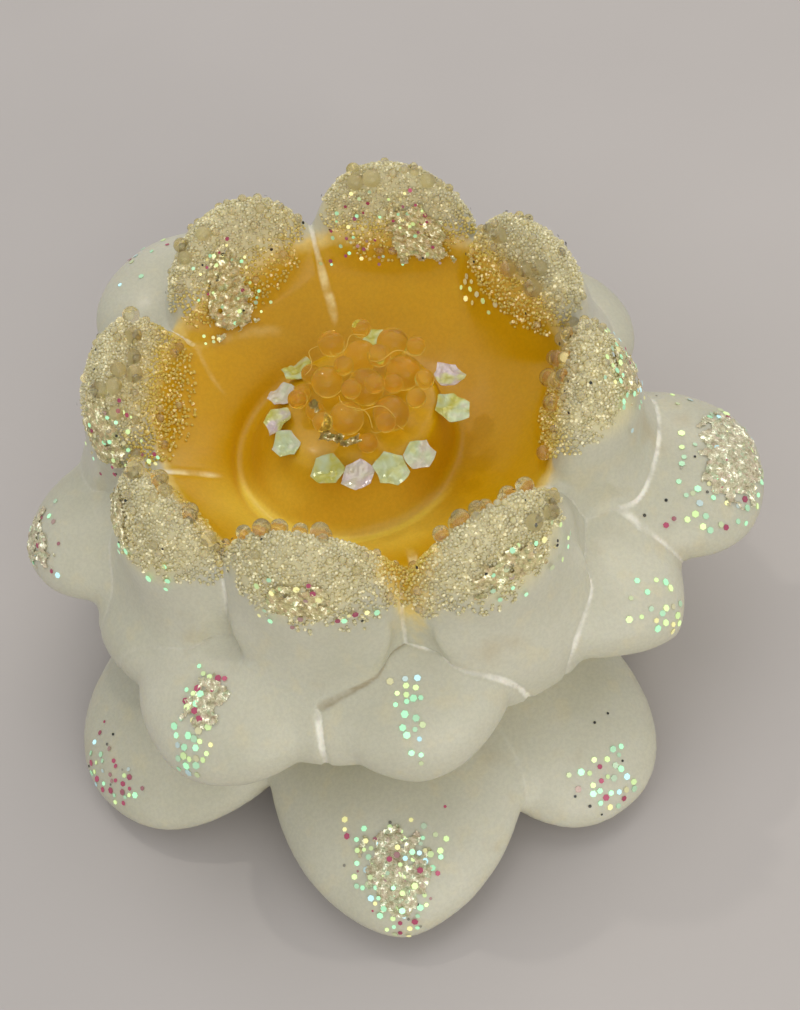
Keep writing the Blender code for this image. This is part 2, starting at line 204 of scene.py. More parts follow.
def studio():
    for row in LIGHTS:
        soft_light(*row)
    world = bpy.data.worlds.new("studio")
    bpy.context.scene.world = world
    world.use_nodes = True
    background = world.node_tree.nodes["Background"]
    background.inputs["Color"].default_value = SKY_COLOUR
    background.inputs["Strength"].default_value = SKY_STRENGTH
    bpy.context.scene.view_settings.view_transform = "Standard"


# ---- materials


class Finish:
    """A material with one Principled shader, and short ways to add nodes before it."""

    def __init__(self, name, **values):
        self.material = bpy.data.materials.new(name)
        self.material.use_nodes = True
        self.tree = self.material.node_tree
        self.shader = self.tree.nodes["Principled BSDF"]
        self.place = self.node("TexCoord").outputs["Object"]
        self.set(values)

    def set(self, values):
        for key, value in values.items():
            self.feed(self.shader.inputs[key], value)

    def feed(self, socket, value):
        if isinstance(value, bpy.types.NodeSocket):
            self.tree.links.new(value, socket)
        elif socket.type == "RGBA" and len(value) == 3:
            socket.default_value = (*value, 1.0)
        else:
            socket.default_value = value

    def node(self, kind, inputs=(), **settings):
        made = self.tree.nodes.new("ShaderNode" + kind)
        for key, value in settings.items():
            setattr(made, key, value)
        for key, value in dict(inputs).items():
            self.feed(made.inputs[key], value)
        return made

    def noise(self, size, detail=3.0, rough=0.5):
        """Noise whose lumps are about this many millimetres across."""
        inputs = {"Vector": self.place, "Scale": 1 / (size * MM), "Detail": detail, "Roughness": rough}
        return self.node("TexNoise", inputs).outputs["Fac"]

    def attribute(self, name):
        return self.node("Attribute", attribute_name=name).outputs["Fac"]

    def mix(self, share, first, second, blend="MIX"):
        made = self.node("Mix", data_type="RGBA", blend_type=blend)
        self.feed(made.inputs[0], share)
        self.feed(made.inputs[6], first)
        self.feed(made.inputs[7], second)
        return made.outputs[2]

    def math(self, operation, first, second=0.0):
        made = self.node("Math", operation=operation)
        self.feed(made.inputs[0], first)
        self.feed(made.inputs[1], second)
        return made.outputs[0]

    def times(self, first, second):
        return self.math("MULTIPLY", first, second)

    def span(self, value, low, high, to_low=0.0, to_high=1.0):
        """The value read from low to high and given out from to_low to to_high, held at both ends."""
        inputs = {"Value": value, "From Min": low, "From Max": high, "To Min": to_low, "To Max": to_high}
        return self.node("MapRange", inputs, interpolation_type="SMOOTHSTEP").outputs["Result"]

    def ramp(self, value, *stops):
        made = self.node("ValToRGB", {"Fac": value})
        line = made.color_ramp
        while len(line.elements) < len(stops):
            line.elements.new(0.5)
        for element, (at, colour) in zip(line.elements, stops):
            element.position = at
            element.color = (*colour, 1.0)
        return made.outputs["Color"]

    def cells(self, size):
        """A value from 0 to 1 that is one and the same within each cell of about this many millimetres."""
        made = self.node("TexVoronoi", {"Vector": self.place, "Scale": 1 / (size * MM)})
        return self.node("SeparateColor", {"Color": made.outputs["Color"]}).outputs["Red"]

    def bump(self, height, depth, strength):
        """A normal from a height of 0 to 1 that stands for this many millimetres."""
        inputs = {"Height": height, "Distance": depth * MM, "Strength": strength}
        return self.node("Bump", inputs).outputs["Normal"]


def lacquer():
    """Pearly warm white over the glass, amber in the cup with a painted glow round the moat, and painted
    highlight lines and painted shade lines in the creases.
    """
    finish = Finish("pearl_lacquer")
    pearl = finish.ramp(
        finish.noise(14.0, 2.0),
        (0.3, (0.54, 0.52, 0.385)),
        (0.5, (0.585, 0.562, 0.424)),
        (0.72, (0.63, 0.605, 0.465)),
    )
    stain = finish.span(finish.noise(9.0, 4.0), 0.6, 0.78, 0.0, 0.5)
    pearl = finish.mix(stain, pearl, (0.50, 0.40, 0.22))
    amber = finish.attribute("amber")
    drift = finish.math("ADD", amber, finish.span(finish.noise(3.0, 3.0), 0.3, 0.7, -0.1, 0.1))
    tint = finish.ramp(
        drift,
        (0.0, (0.68, 0.62, 0.42)),
        (0.3, (0.82, 0.62, 0.20)),
        (0.62, (0.64, 0.375, 0.008)),
        (1.0, (0.64, 0.345, 0.001)),
    )
    colour = finish.mix(finish.span(drift, 0.02, 0.3), pearl, tint)
    bed = finish.mix(finish.span(drift, 0.1, 0.8), (0.76, 0.68, 0.38), (0.84, 0.56, 0.10))
    colour = finish.mix(finish.times(finish.attribute("bed"), 0.85), colour, bed)
    # Painted glow: the amber lightened to bright gold round the moat's front and the mound's foot
    painted_glow = finish.attribute("painted_glow")
    colour = finish.mix(finish.span(painted_glow, 0.0, 0.7), colour, (1.0, 0.74, 0.10))
    # Crease lines: painted highlight in pale cream to pale amber, painted shade in dark brown
    crease_highlight_and_shade = finish.attribute("crease_highlight_and_shade")
    broken = finish.span(finish.noise(3.0, 3.0), 0.36, 0.62, 0.2, 1.0)
    pale = finish.mix(finish.span(drift, 0.3, 0.8), (1.0, 0.96, 0.82), (1.0, 0.84, 0.40))
    light = finish.times(finish.span(crease_highlight_and_shade, 0.15, 0.75), broken)
    dark = finish.times(finish.span(crease_highlight_and_shade, -0.1, -0.7), broken)
    colour = finish.mix(finish.times(light, 0.85), colour, pale)
    # Painted shade along the dark creases
    colour = finish.mix(finish.times(dark, 0.7), colour, (0.34, 0.26, 0.13))
    grain = finish.noise(0.4, 4.0, 0.7)
    frost = finish.span(grain, 0.38, 0.62, 0.96, 1.03)
    frosted = finish.node("CombineColor", {"Red": frost, "Green": frost, "Blue": frost}).outputs[0]
    colour = finish.mix(1.0, colour, frosted, "MULTIPLY")
    pits = finish.bump(grain, 0.03, 0.6)
    finish.set({"Base Color": colour, "Normal": pits})
    finish.set({"Roughness": finish.span(finish.noise(5.0, 3.0), 0.3, 0.7, 0.3, 0.42)})
    finish.set({"Subsurface Weight": 0.25, "Subsurface Scale": 2.0 * MM})
    finish.set({"Subsurface Radius": (1.0, 0.75, 0.4)})
    finish.set({"Coat Weight": 0.15, "Coat Roughness": 0.2, "Specular IOR Level": 0.28})
    return finish.material


def bead_glass(name, pale, deep, thin, clarity, sparkle, **values):
    """Beads that are pale to deep by their shade and thin where clear, with painted glints, an emission in
    scattered cells, where they are not clear.
    """
    finish = Finish(name, **values)
    clear = finish.attribute("clear")
    cloud = finish.span(finish.noise(1.6, 2.0), 0.3, 0.7, -0.15, 0.15)
    drift = finish.math("ADD", finish.attribute("shade"), cloud)
    colour = finish.mix(finish.span(drift, 0.0, 1.0), pale, deep)
    finish.set({"Base Color": finish.mix(finish.span(clear, 0.3, 1.0, 0.0, 0.55), colour, thin)})
    finish.set({"Roughness": finish.span(finish.noise(0.8, 2.0), 0.3, 0.7, 0.02, 0.08)})
    finish.set({"Transmission Weight": finish.times(clear, clarity)})
    # Painted glints: emission in scattered cells on the beads that are not clear
    painted_glint = finish.span(finish.cells(0.32), 0.84, 0.98, 0.0, sparkle)
    painted_glint = finish.times(painted_glint, finish.math("SUBTRACT", 1.0, clear))
    finish.set({"Emission Color": (1.0, 0.96, 0.72), "Emission Strength": painted_glint})
    return finish.material


def foil(name, tone):
    """Crumpled film in this tone with rose and pale green, with painted shade in its folds and painted
    highlights and glints on its crests.
    """
    finish = Finish(name, Metallic=0.1)
    finish.set({"Coat Weight": 1.0, "Coat Roughness": 0.08})
    fold_shade_and_highlight = finish.noise(0.75, 5.0, 0.72)
    # Painted shade in the folds up to painted highlight on the crests
    colour = finish.ramp(
        fold_shade_and_highlight,
        (0.36, (0.46, 0.41, 0.28)),
        (0.44, (0.66, 0.61, 0.44)),
        (0.52, (0.78, 0.74, 0.57)),
        (0.60, (0.95, 0.92, 0.76)),
        (0.68, (1.0, 1.0, 0.92)),
    )
    pick = finish.cells(0.4)
    tint = finish.ramp(
        pick,
        (0.0, (1.0, 0.74, 0.66)),
        (0.25, (1.0, 0.94, 0.72)),
        (0.75, (0.95, 1.0, 0.72)),
        (1.0, (0.62, 1.0, 0.70)),
    )
    colour = finish.mix(0.5, colour, tint, "MULTIPLY")
    colour = finish.mix(1.0, colour, tone, "MULTIPLY")
    sharp = finish.math("ABSOLUTE", finish.math("SUBTRACT", fold_shade_and_highlight, 0.5))
    finish.set({"Base Color": colour, "Normal": finish.bump(sharp, 0.6, 1.0)})
    # Painted glints: emission on the crests
    painted_glint = finish.times(finish.span(fold_shade_and_highlight, 0.53, 0.64), finish.span(pick, 0.2, 0.7))
    painted_glint = finish.times(painted_glint, 0.9)
    finish.set({"Emission Color": (1.0, 0.97, 0.80), "Emission Strength": painted_glint})
    finish.set({"Roughness": finish.span(finish.noise(1.5, 2.0), 0.3, 0.7, 0.12, 0.3)})
    return finish.material


GLITTER_COLOURS = {  # the shade that stands for each colour, and the colour
    "mint": (0.08, (0.50, 1.0, 0.60)),
    "lime": (0.24, (0.76, 1.0, 0.44)),
    "yellow": (0.40, (1.0, 0.96, 0.44)),
    "cyan": (0.56, (0.60, 0.95, 1.0)),
    "maroon": (0.72, (0.36, 0.07, 0.12)),
    "black": (0.90, (0.03, 0.03, 0.025)),
}


def glitter_film():
    """Flakes of one flat colour each, by their shade, with a painted glint by their clear value: emission and
    full colour where high, a dull pearl colour where low.
    """
    finish = Finish("glitter_film", Metallic=0.25, Roughness=0.25)
    stops = [(at - 0.08, colour) for at, colour in GLITTER_COLOURS.values()]
    colour = finish.ramp(finish.attribute("shade"), *stops)
    colour.node.color_ramp.interpolation = "CONSTANT"
    # Each flake's painted glint, kept in its clear value
    painted_flake_glint = finish.attribute("clear")
    wear_and_painted_glint = finish.times(finish.span(finish.noise(0.6, 3.0), 0.35, 0.65, 0.82, 1.0), painted_flake_glint)
    finish.set({"Base Color": finish.mix(finish.span(wear_and_painted_glint, 0.0, 0.6, 0.25, 1.0), (0.58, 0.55, 0.42), colour)})
    finish.set({"Emission Color": colour, "Emission Strength": finish.span(painted_flake_glint, 0.4, 1.0, 0.06, 0.42)})
    finish.set({"Normal": finish.bump(finish.noise(0.3, 2.0), 0.02, 0.5)})
    return finish.material


def sequin_film():
    """Thin iridescent film: lilac white that turns yellow green in bands."""
    finish = Finish("sequin_film", Metallic=0.1, Roughness=0.22)
    bands = finish.math("ADD", finish.noise(1.8, 1.0), finish.attribute("shade"))
    colour = finish.ramp(
        finish.math("FRACT", bands),
        (0.0, (0.74, 0.62, 0.64)),
        (0.3, (0.76, 0.72, 0.56)),
        (0.5, (0.66, 0.76, 0.46)),
        (0.72, (0.62, 0.60, 0.10)),
        (0.88, (0.70, 0.70, 0.34)),
        (1.0, (0.74, 0.62, 0.64)),
    )
    finish.set({"Base Color": colour, "Normal": finish.bump(finish.noise(0.9, 3.0), 0.06, 0.6)})
    finish.set({"Coat Weight": 0.4, "Coat Roughness": 0.1, "Alpha": 0.78})
    return finish.material


def bare_metal(name, light, dark, rough):
    """Metal that has tarnished from light to dark in patches."""
    finish = Finish(name, Metallic=1.0)
    tarnish = finish.span(finish.noise(1.6, 4.0), 0.45, 0.75)
    finish.set({"Base Color": finish.mix(tarnish, light, dark)})
    finish.set({"Roughness": finish.span(finish.noise(0.8, 3.0), 0.3, 0.7, rough, rough + 0.2)})
    finish.set({"Normal": finish.bump(finish.noise(0.25, 2.0), 0.01, 0.6)})
    return finish.material


def tabletop():
    finish = Finish("tabletop", Roughness=0.75)
    mottle = finish.ramp(finish.noise(60.0, 3.0), (0.35, (0.51, 0.472, 0.44)), (0.65, (0.535, 0.495, 0.462)))
    finish.set({"Base Color": mottle, "Normal": finish.bump(finish.noise(0.8, 2.0), 0.03, 0.3)})
    return finish.material


# ---- meshes


def add_piece(name, mesh, finish):
    """A piece of the ornament, in world coordinates, that rides on its one body."""
    mesh.materials.append(finish)
    obj = new_object(name, mesh)
    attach(obj, "root")
    return obj


def mesh_of(bm, name):
    mesh = bpy.data.meshes.new(name)
    bm.to_mesh(mesh)
    bm.free()
    mesh.shade_smooth()
    return mesh


def film_of(bm, name, thickness):
    """The mesh of a crumpled film, flat between its folds."""
    bmesh.ops.solidify(bm, geom=bm.faces[:], thickness=thickness * MM)
    mesh = mesh_of(bm, name)
    mesh.shade_flat()
    return mesh


def outward(bearing):
    return Vector((sin(radians(bearing)), cos(radians(bearing)), 0.0))


def sideways(bearing):
    return Vector((cos(radians(bearing)), -sin(radians(bearing)), 0.0))


def place_at(bearing, radius, height):
    """The place at this bearing and radius from the flower's axis, and this height."""
    return outward(bearing) * radius + Vector((0, 0, height))


def join_rings(bm, rings):
    """Faces between rings of vertices. A ring of one vertex is a pole."""
    around = max(len(ring) for ring in rings)
    for first, second in zip(rings, rings[1:]):
        for i in range(around):
            j = (i + 1) % around
            corners = [first[i % len(first)], first[j % len(first)]]
            corners += [second[j % len(second)], second[i % len(second)]]
            bm.faces.new(list(dict.fromkeys(corners)))


class Petal:
    """A pillow that swells around a curved spine in the plane of one bearing, as in the CAD model.

    The guides are the spine's root, elbow and tip, and the ends say how bluntly it starts and stops.
    """

    def __init__(self, bearing, guides, width, upper, lower, ends, wrap):
        self.bearing = bearing
        self.root, self.elbow, self.tip = (Vector(guide) for guide in guides)
        self.width, self.upper, self.lower = width, upper, lower
        self.ends = ends
        self.wrap = wrap

    def spine(self, t):
        place = (1 - t) ** 2 * self.root + 2 * t * (1 - t) * self.elbow + t * t * self.tip
        along = (1 - t) * (self.elbow - self.root) + t * (self.tip - self.elbow)
        return place, along.normalized()

    def swell(self, t, start, end):
        peak = start / (start + end)
        most = peak**start * (1 - peak) ** end
        return max(t, 0.0) ** start * max(1 - t, 0.0) ** end / most

    def point(self, t, angle):
        """The surface at t along the spine and this angle round it, 90 degrees being upper."""
        place, along = self.spine(t)
        wide, thick = (self.swell(t, *pair) for pair in self.ends)
        up = sin(angle)
        across = self.width * wide * cos(angle)
        lift = (self.upper if up > 0 else self.lower) * thick * up
        radius = place.x - along.y * lift - across**2 / (2 * self.wrap)
        height = place.y + along.x * lift
        return outward(self.bearing) * radius + sideways(self.bearing) * across + Vector((0, 0, height))

    def add_to(self, bm, around=72, rows=60):
        """A closed grid over the pillow, one pole at each end of the spine."""
        first, last = ([bm.verts.new(self.point(t, 0) * MM)] for t in (0, 1))
        rings = []
        for row in range(1, rows):
            t = (1 - cos(pi * row / rows)) / 2
            rings.append([bm.verts.new(self.point(t, 2 * pi * i / around) * MM) for i in range(around)])
        join_rings(bm, [first, *rings, last])


def inner_petal(bearing, radius, height, width):
    guides = ((radius - 19.0, 18.0), (radius + 3.2, 20.0), (radius - 0.4, height))
    ends = ((0.5, 0.42), (0.35, 0.64))
    return Petal(bearing, guides, width, upper=7.2, lower=7.2, ends=ends, wrap=19.0)


def middle_petal(bearing, radius, height, width, closing):
    guides = ((12.0, 21.0), (radius - 9.0, height + 6.0), (radius, height))
    ends = ((0.5, closing), (0.5, 0.55))
    return Petal(bearing, guides, width, upper=5.0, lower=4.6, ends=ends, wrap=34.0)


def outer_petal(bearing, radius, height, width, closing):
    guides = ((12.0, 9.5), (radius - 14.0, height + 7.0), (radius, height))
    ends = ((0.6, closing), (0.5, 0.5))
    return Petal(bearing, guides, width, upper=4.4, lower=3.6, ends=ends, wrap=34.0)


def apron(bearing, radius, height, width):
    """The lower point of an inner petal's outer face, which runs down between two middle petals."""
    guides = ((radius + 0.5, height - 7.0), (radius + 5.2, height - 15.0), (radius + 7.2, height - 22.5))
    ends = ((0.6, 1.0), (0.6, 0.5))
    return Petal(bearing, guides, width - 2.6, upper=0.9, lower=4.0, ends=ends, wrap=22.0)


INNER = [inner_petal(*row) for row in INNER_PETALS]
APRONS = [apron(*row) for row in INNER_PETALS]
MIDDLE = [middle_petal(*row) for row in MIDDLE_PETALS]
MIDDLE_WEBS = [middle_petal(*row) for row in WEBS]
OUTER = [outer_petal(*row) for row in OUTER_PETALS]


def core_profile():
    """Half section from the mound's top over the cup's rim and down to the foot, as (radius, height)."""
    points = [(0.0, HEIGHT - MOUND_DEPTH)]
    for step in range(1, 7):
        turn = step / 6 * pi / 2
        points.append((MOUND_RADIUS * sin(turn), HEIGHT - MOUND_DEPTH - MOUND_DOME * (1 - cos(turn))))
    valley = HEIGHT - VALLEY_DEPTH
    points += [
        (MOUND_RADIUS + 1.1, valley + 3.6),
        (VALLEY_RADIUS - 0.7, valley + 0.5),
        (VALLEY_RADIUS + 0.3, valley),
        (VALLEY_RADIUS + 1.6, valley + 0.3),
        (17.0, valley + 2.2),
        (CUP_RADIUS - 1.0, HEIGHT - CUP_RIM_DEPTH - 1.0),
        (CUP_RADIUS + 1.0, HEIGHT - CUP_RIM_DEPTH),
        (CUP_RADIUS + 1.9, HEIGHT - CUP_RIM_DEPTH - 1.4),
        (25.2, 29.5),
        (27.0, 23.0),
        (27.4, 16.0),
        (25.0, 10.0),
        (21.0, 5.0),
        (FOOT_RADIUS + 2.0, 1.2),
        (FOOT_RADIUS, 0.0),
        (0.0, 0.0),
    ]
    return points


def spun(bm, points, steps=96, turn=Matrix.Identity(4)):
    """A closed turned shape from a half section whose ends lie on the axis."""
    rings = []
    for radius, height in points:
        count = 1 if radius == 0 else steps
        places = [place_at(360 * i / steps, radius, height) for i in range(count)]
        rings.append([bm.verts.new(turn @ (place * MM)) for place in places])
    join_rings(bm, rings)


def neck_frame():
    """Turns Z to run outward along the neck, from the flower's axis."""
    turn = outward(NECK_BEARING).to_track_quat("Z", "X").to_matrix().to_4x4()
    return Matrix.Translation(Vector((0, 0, NECK_HEIGHT * MM))) @ turn


# ---- the skin of the glass body


def modified(obj):
    """The object's mesh with its modifiers applied. The object itself goes."""
    bpy.context.view_layer.update()
    mesh = bpy.data.meshes.new_from_object(obj.evaluated_get(bpy.context.evaluated_depsgraph_get()))
    bpy.data.objects.remove(obj, do_unlink=True)
    return mesh


def neighbours(mesh):
    """Both ends of each edge, both ways round, and how many neighbours each vertex has."""
    ends = np.empty(len(mesh.edges) * 2, dtype=np.int64)
    mesh.edges.foreach_get("vertices", ends)
    ends = ends.reshape(-1, 2)
    here = np.concatenate((ends[:, 0], ends[:, 1]))
    there = np.concatenate((ends[:, 1], ends[:, 0]))
    return here, there, np.bincount(here, minlength=len(mesh.vertices)).astype(float)


def averaged(values, links, times, pull=0.6):
    """Each vertex's value drawn by this pull towards its neighbours' mean, this many times."""
    here, there, count = links
    for _ in range(times):
        total = np.stack([np.bincount(here, values[there, k], len(count)) for k in range(values.shape[1])], 1)
        values = (1 - pull) * values + pull * total / count[:, None]
    return values


def read(vectors, name):
    """The named vector of each vertex or normal, one row each."""
    out = np.empty(len(vectors) * 3)
    vectors.foreach_get(name, out)
    return out.reshape(-1, 3)


def hump(value, centre, width):
    """1 at the centre, and close to 0 from about twice this width on."""
    return np.exp(-(((value - centre) / width) ** 2))


def step_up(value, low, high):
    """0 up to low and 1 from high on, with a smooth rise between them."""
    share = np.clip((value - low) / (high - low), 0, 1)
    return share * share * (3 - 2 * share)


def write_attribute(mesh, name, values):
    made = mesh.attributes.new(name, "FLOAT", "POINT")
    made.data.foreach_set("value", values.astype(np.float32))


def amber_share(places):
    """How much amber lacquer lies at each place: all of it deep in the cup, none past the rim."""
    x, y, z = places.T
    radius = np.hypot(x, y)
    depth = z - HEIGHT
    bearing = np.degrees(np.arctan2(x, y)) % 360
    reach = radius + 0.62 * np.maximum(depth + 10.0, 0)
    behind = step_up(y, 0, 8)
    share = 1 - step_up(reach, 20.6, 24.4 + 3.6 * behind)
    spill = hump(bearing, 178, 7.0) * (1 - step_up(radius, 25.5, 30)) * step_up(depth, -20, -11)
    inside = (radius < 24.2 + 2.0 * behind) & (z > 26)
    return np.maximum(np.where(inside, share, 0), spill * 0.8)


def petal_distances(places):
    """How far each place lies from each petal's surface, up to REACH, one column per petal."""
    out = np.full((len(places), len(INNER + MIDDLE + OUTER)), REACH)
    groups = [*zip(INNER, APRONS), *((petal,) for petal in MIDDLE + OUTER)]
    for column, group in enumerate(groups):
        bm = bmesh.new()
        for petal in group:
            petal.add_to(bm, 48, 40)
        tree = BVHTree.FromBMesh(bm)
        bm.free()
        ahead = outward(group[0].bearing)
        near = places[:, 0] * ahead.x + places[:, 1] * ahead.y > 6.0
        for i in np.flatnonzero(near):
            found = tree.find_nearest(places[i] * MM, REACH * MM)
            if found[3] is not None:
                out[i, column] = found[3] / MM
    return out


def crease_highlights_and_shades(places):
    """Strength of the line where two petals meet, at each place: a painted highlight above 0 and painted
    shade below.
    """
    far = petal_distances(places)
    order = np.argsort(far, 1)
    first, second = order[:, 0], order[:, 1]
    rows = np.arange(len(places))
    near, next_near = far[rows, first], far[rows, second]
    whorl = np.array([0] * len(INNER) + [1] * len(MIDDLE) + [2] * len(OUTER))
    strength = CREASE_HIGHLIGHT_STRENGTH[whorl[first], whorl[second]]
    for (one, other), value in CREASE_HIGHLIGHTS_AND_SHADES.items():
        strength[((first == one) & (second == other)) | ((first == other) & (second == one))] = value
    line = (1 - step_up(next_near - near, 0.0, LINE_WIDTH)) * (1 - step_up(next_near, *LINE_FADE))
    deep = step_up(np.hypot(places[:, 0], places[:, 1]), CREASE_FROM, CREASE_FROM + 4)
    return line * strength * deep


def painted_glow_share(places):
    """Where a painted glow lightens the amber: round the front of the moat and on the mound's foot."""
    x, y, z = places.T
    radius = np.hypot(x - MOAT_SHIFT, y)
    bearing = np.degrees(np.arctan2(x - MOAT_SHIFT, y)) % 360
    front = step_up(bearing, 120, 165) * (1 - step_up(bearing, 240, 285))
    patch = 0.55 + 0.45 * np.cos(np.radians(bearing * 3.0 + 40))
    ring = hump(radius, 12.9, 0.5 + 0.5 * patch) * front * (0.75 + 0.45 * patch)
    left = hump(bearing, 232, 30) * hump(radius, 10.6, 2.0) * 0.4
    broad = front * hump(radius, 13.5, 5.0) * 0.42
    return np.where((radius < 20) & (z > 25), np.maximum(np.maximum(ring, left), broad), 0)


def bed_share(places):
    """Where the bead beds cover the petals' tips."""
    share = np.zeros(len(places))
    for petal in INNER:
        here = place_at(petal.bearing, *petal.tip)
        along = np.linalg.norm(places - np.array(here), axis=1)
        share = np.maximum(share, 1 - step_up(along, 8.0, 11.0))
    return share


def skin():
    """Core, petals and neck made one by a voxel grid, with filled valleys and pressed crease lines."""
    bm = bmesh.new()
    spun(bm, core_profile())
    for petal in INNER + APRONS + MIDDLE + MIDDLE_WEBS + OUTER:
        petal.add_to(bm)
    neck = [(0, NECK_END), (NECK_RADIUS, NECK_END), (NECK_RADIUS, NECK_ROOT), (0, NECK_ROOT)]
    spun(bm, neck, turn=neck_frame())
    bmesh.ops.recalc_face_normals(bm, faces=bm.faces)
    rough = new_object("rough_skin", mesh_of(bm, "rough_skin"))
    grid = rough.modifiers.new("fuse", "REMESH")
    grid.mode = "VOXEL"
    grid.voxel_size = SKIN_VOXEL * MM
    mesh = modified(rough)
    places = read(mesh.vertices, "co") / MM
    links = neighbours(mesh)
    # Painted highlight and shade of the crease lines; their size also presses the skin in
    crease_highlight_and_shade = crease_highlights_and_shades(places)
    radius = np.hypot(places[:, 0], places[:, 1])
    places[:, 0] += MOAT_SHIFT * hump(radius, VALLEY_RADIUS, 3.0) * step_up(places[:, 2], 24, 26)
    places = averaged(places, links, 2)
    keep = step_up(places[:, 2], 0.3, 2.0)  # the foot stays flat
    radius = np.hypot(places[:, 0], places[:, 1])
    outside = step_up(radius - 0.4 * np.maximum(places[:, 2] - 35, 0), 21.0, 24.0)
    for _ in range(VALLEY_ROUNDS):  # only hollows rise, and only outside the cup
        mesh.vertices.foreach_set("co", (places * MM).ravel())
        mesh.update()
        normals = averaged(read(mesh.vertex_normals, "vector"), links, 2)
        normals /= np.linalg.norm(normals, axis=1, keepdims=True)
        rise = ((averaged(places, links, 10) - places) * normals).sum(1)
        rise = averaged(np.maximum(rise, 0)[:, None], links, 2)[:, 0]
        places = places + normals * (rise * keep * outside)[:, None]
    wave = np.array([noise.noise(Vector(p) / 7.0) + 0.5 * noise.noise(Vector(p) / 3.2) for p in places])
    shift = WAVE_DEPTH * wave - LINE_DEPTH * abs(crease_highlight_and_shade)
    places = places + normals * (shift * keep)[:, None]
    places[:, 2] = np.maximum(places[:, 2], 0)
    mesh.vertices.foreach_set("co", (places * MM).ravel())
    write_attribute(mesh, "crease_highlight_and_shade", crease_highlight_and_shade)
    for name, share in (("amber", amber_share), ("painted_glow", painted_glow_share), ("bed", bed_share)):
        write_attribute(mesh, name, share(places))
    mesh.shade_smooth()
    fine = new_object("fine_skin", mesh)
    fewer = fine.modifiers.new("thin out", "DECIMATE")
    fewer.ratio = SKIN_FACES / (2 * len(mesh.polygons))
    return modified(fine)


# ---- trim laid on the skin


def shape_of(build, **values):
    """The corners and faces of one small shape made by a bmesh operator."""
    bm = bmesh.new()
    build(bm, **values)
    corners = np.array([vertex.co[:] for vertex in bm.verts])
    faces = [[vertex.index for vertex in face.verts] for face in bm.faces]
    bm.free()
    return corners, faces


class Heap:
    """Many small copies of a few shapes, gathered into one mesh."""

    def __init__(self):
        self.corners, self.faces, self.shades, self.clear = [], [], [], []
        self.count = 0

    def add(self, shape, turn, place, shade, clear=1.0):
        """The shape turned and sized by a 3 x 3 matrix, at a place in millimetres."""
        corners, faces = shape
        self.corners.append(corners @ np.array(turn).T + np.array(place))
        self.faces += [[corner + self.count for corner in face] for face in faces]
        self.shades.append(np.full(len(corners), shade))
        self.clear.append(np.full(len(corners), clear))
        self.count += len(corners)

    def mesh(self, name, smooth=True):
        made = bpy.data.meshes.new(name)
        made.from_pydata((np.concatenate(self.corners) * MM).tolist(), [], self.faces)
        write_attribute(made, "shade", np.concatenate(self.shades))
        write_attribute(made, "clear", np.concatenate(self.clear))
        if smooth:
            made.shade_smooth()
        return made


class Ground:
    """The finished skin, as something to lay trim on."""

    def __init__(self, mesh):
        bm = bmesh.new()
        bm.from_mesh(mesh)
        self.tree = BVHTree.FromBMesh(bm)
        bm.free()

    def seat(self, place, within):
        """The skin's nearest place, in millimetres, and its normal, or None if it is not within reach."""
        found = self.tree.find_nearest(place * MM, within * MM)
        return None if found[0] is None else (found[0] / MM, found[1])


def tilted(normal, leans, dice):
    """Axes round this normal, leaned from it by an angle in this range of degrees and spun at random."""
    lean, spin = dice.uniform(*leans), dice.uniform(0, SPIN)
    axes = normal.to_track_quat("Z", "X").to_matrix()
    tip = Matrix.Rotation(radians(lean), 3, "X") @ Matrix.Rotation(spin, 3, "Z")
    return axes @ Matrix.Rotation(spin * 2.7, 3, "Z") @ tip


def crust_edge(row, angle):
    """Where the bead bed starts along the petal, at this angle round it."""
    inner, outer, side, lean = row[:4]
    up, across = sin(angle), cos(angle)
    reach = inner if up > 0 else outer
    return side + (reach - side) * up * up + lean * across


def crust(ground, petal, row, dice):
    """Beads of three sizes over a petal's tip: rows of large ones, then smaller ones, then grains."""
    heap = Heap()
    taken = {}

    def free(place, size):
        cell = tuple(int(value // CELL) for value in place)
        for step in product((-1, 0, 1), repeat=3):
            for other, reach in taken.get(tuple(a + b for a, b in zip(cell, step)), ()):
                if (other - place).length < BEAD_SPACING * (size + reach):
                    return False
        taken.setdefault(cell, []).append((place, size))
        return True

    def lay(t, angle, size, shape, raised):
        seat = ground.seat(petal.point(t, angle), 0.9)
        if seat is None:
            return
        place = seat[0] + seat[1] * size * raised
        if free(place, size):
            turn = tilted(seat[1], (0, 180), dice) * size
            amber = float(amber_share(np.array([place[:]]))[0])
            low_inside = float(step_up(-place.z, -43, -35.5)) * (sin(angle) > 0)
            tint = min(0.12 + amber + 0.7 * low_inside, 1.0)
            clear = 0.2 + 0.8 * float(step_up(size, 0.28, 0.6))  # fine grains are nearly opaque
            heap.add(shape, turn, place, tint * (0.4 if size > 0.7 else 1.0), clear)

    for t_low, t_high, first, last, count in row[4]:
        for step in range(count):
            angle = radians(first + (last - first) * (step + dice.uniform(0.2, 0.8)) / count)
            lay(dice.uniform(t_low, t_high), angle, dice.uniform(*LARGE_SIZES), LARGE_BEAD, 0.6)
    for tries, sizes, shape, raised in GRAINS:
        for _ in range(tries):
            angle = dice.uniform(0, 2 * pi)
            edge = crust_edge(row, angle)
            t = edge + (1 - edge) * dice.random() ** 0.75
            fray = (t - edge) / 0.05 + 1.6 * noise.noise(petal.point(t, angle) / 1.6)
            if fray > dice.random():
                lay(t, angle, dice.uniform(*sizes), shape, raised)
    return heap


def all_crusts(ground):
    finish = bead_glass(
        "crust_beads",
        pale=(0.85, 0.74, 0.42),
        deep=(0.92, 0.64, 0.13),
        thin=(1.0, 0.96, 0.78),
        **CRUST_GLASS,
    )
    dice = random.Random(11)
    for number, (petal, row) in enumerate(zip(INNER, CRUSTS), 1):
        name = f"crust_beads_{number}"
        piece = add_piece(name, crust(ground, petal, row, dice).mesh(name), finish)
        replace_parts(piece, f"bead_crust_{number}")


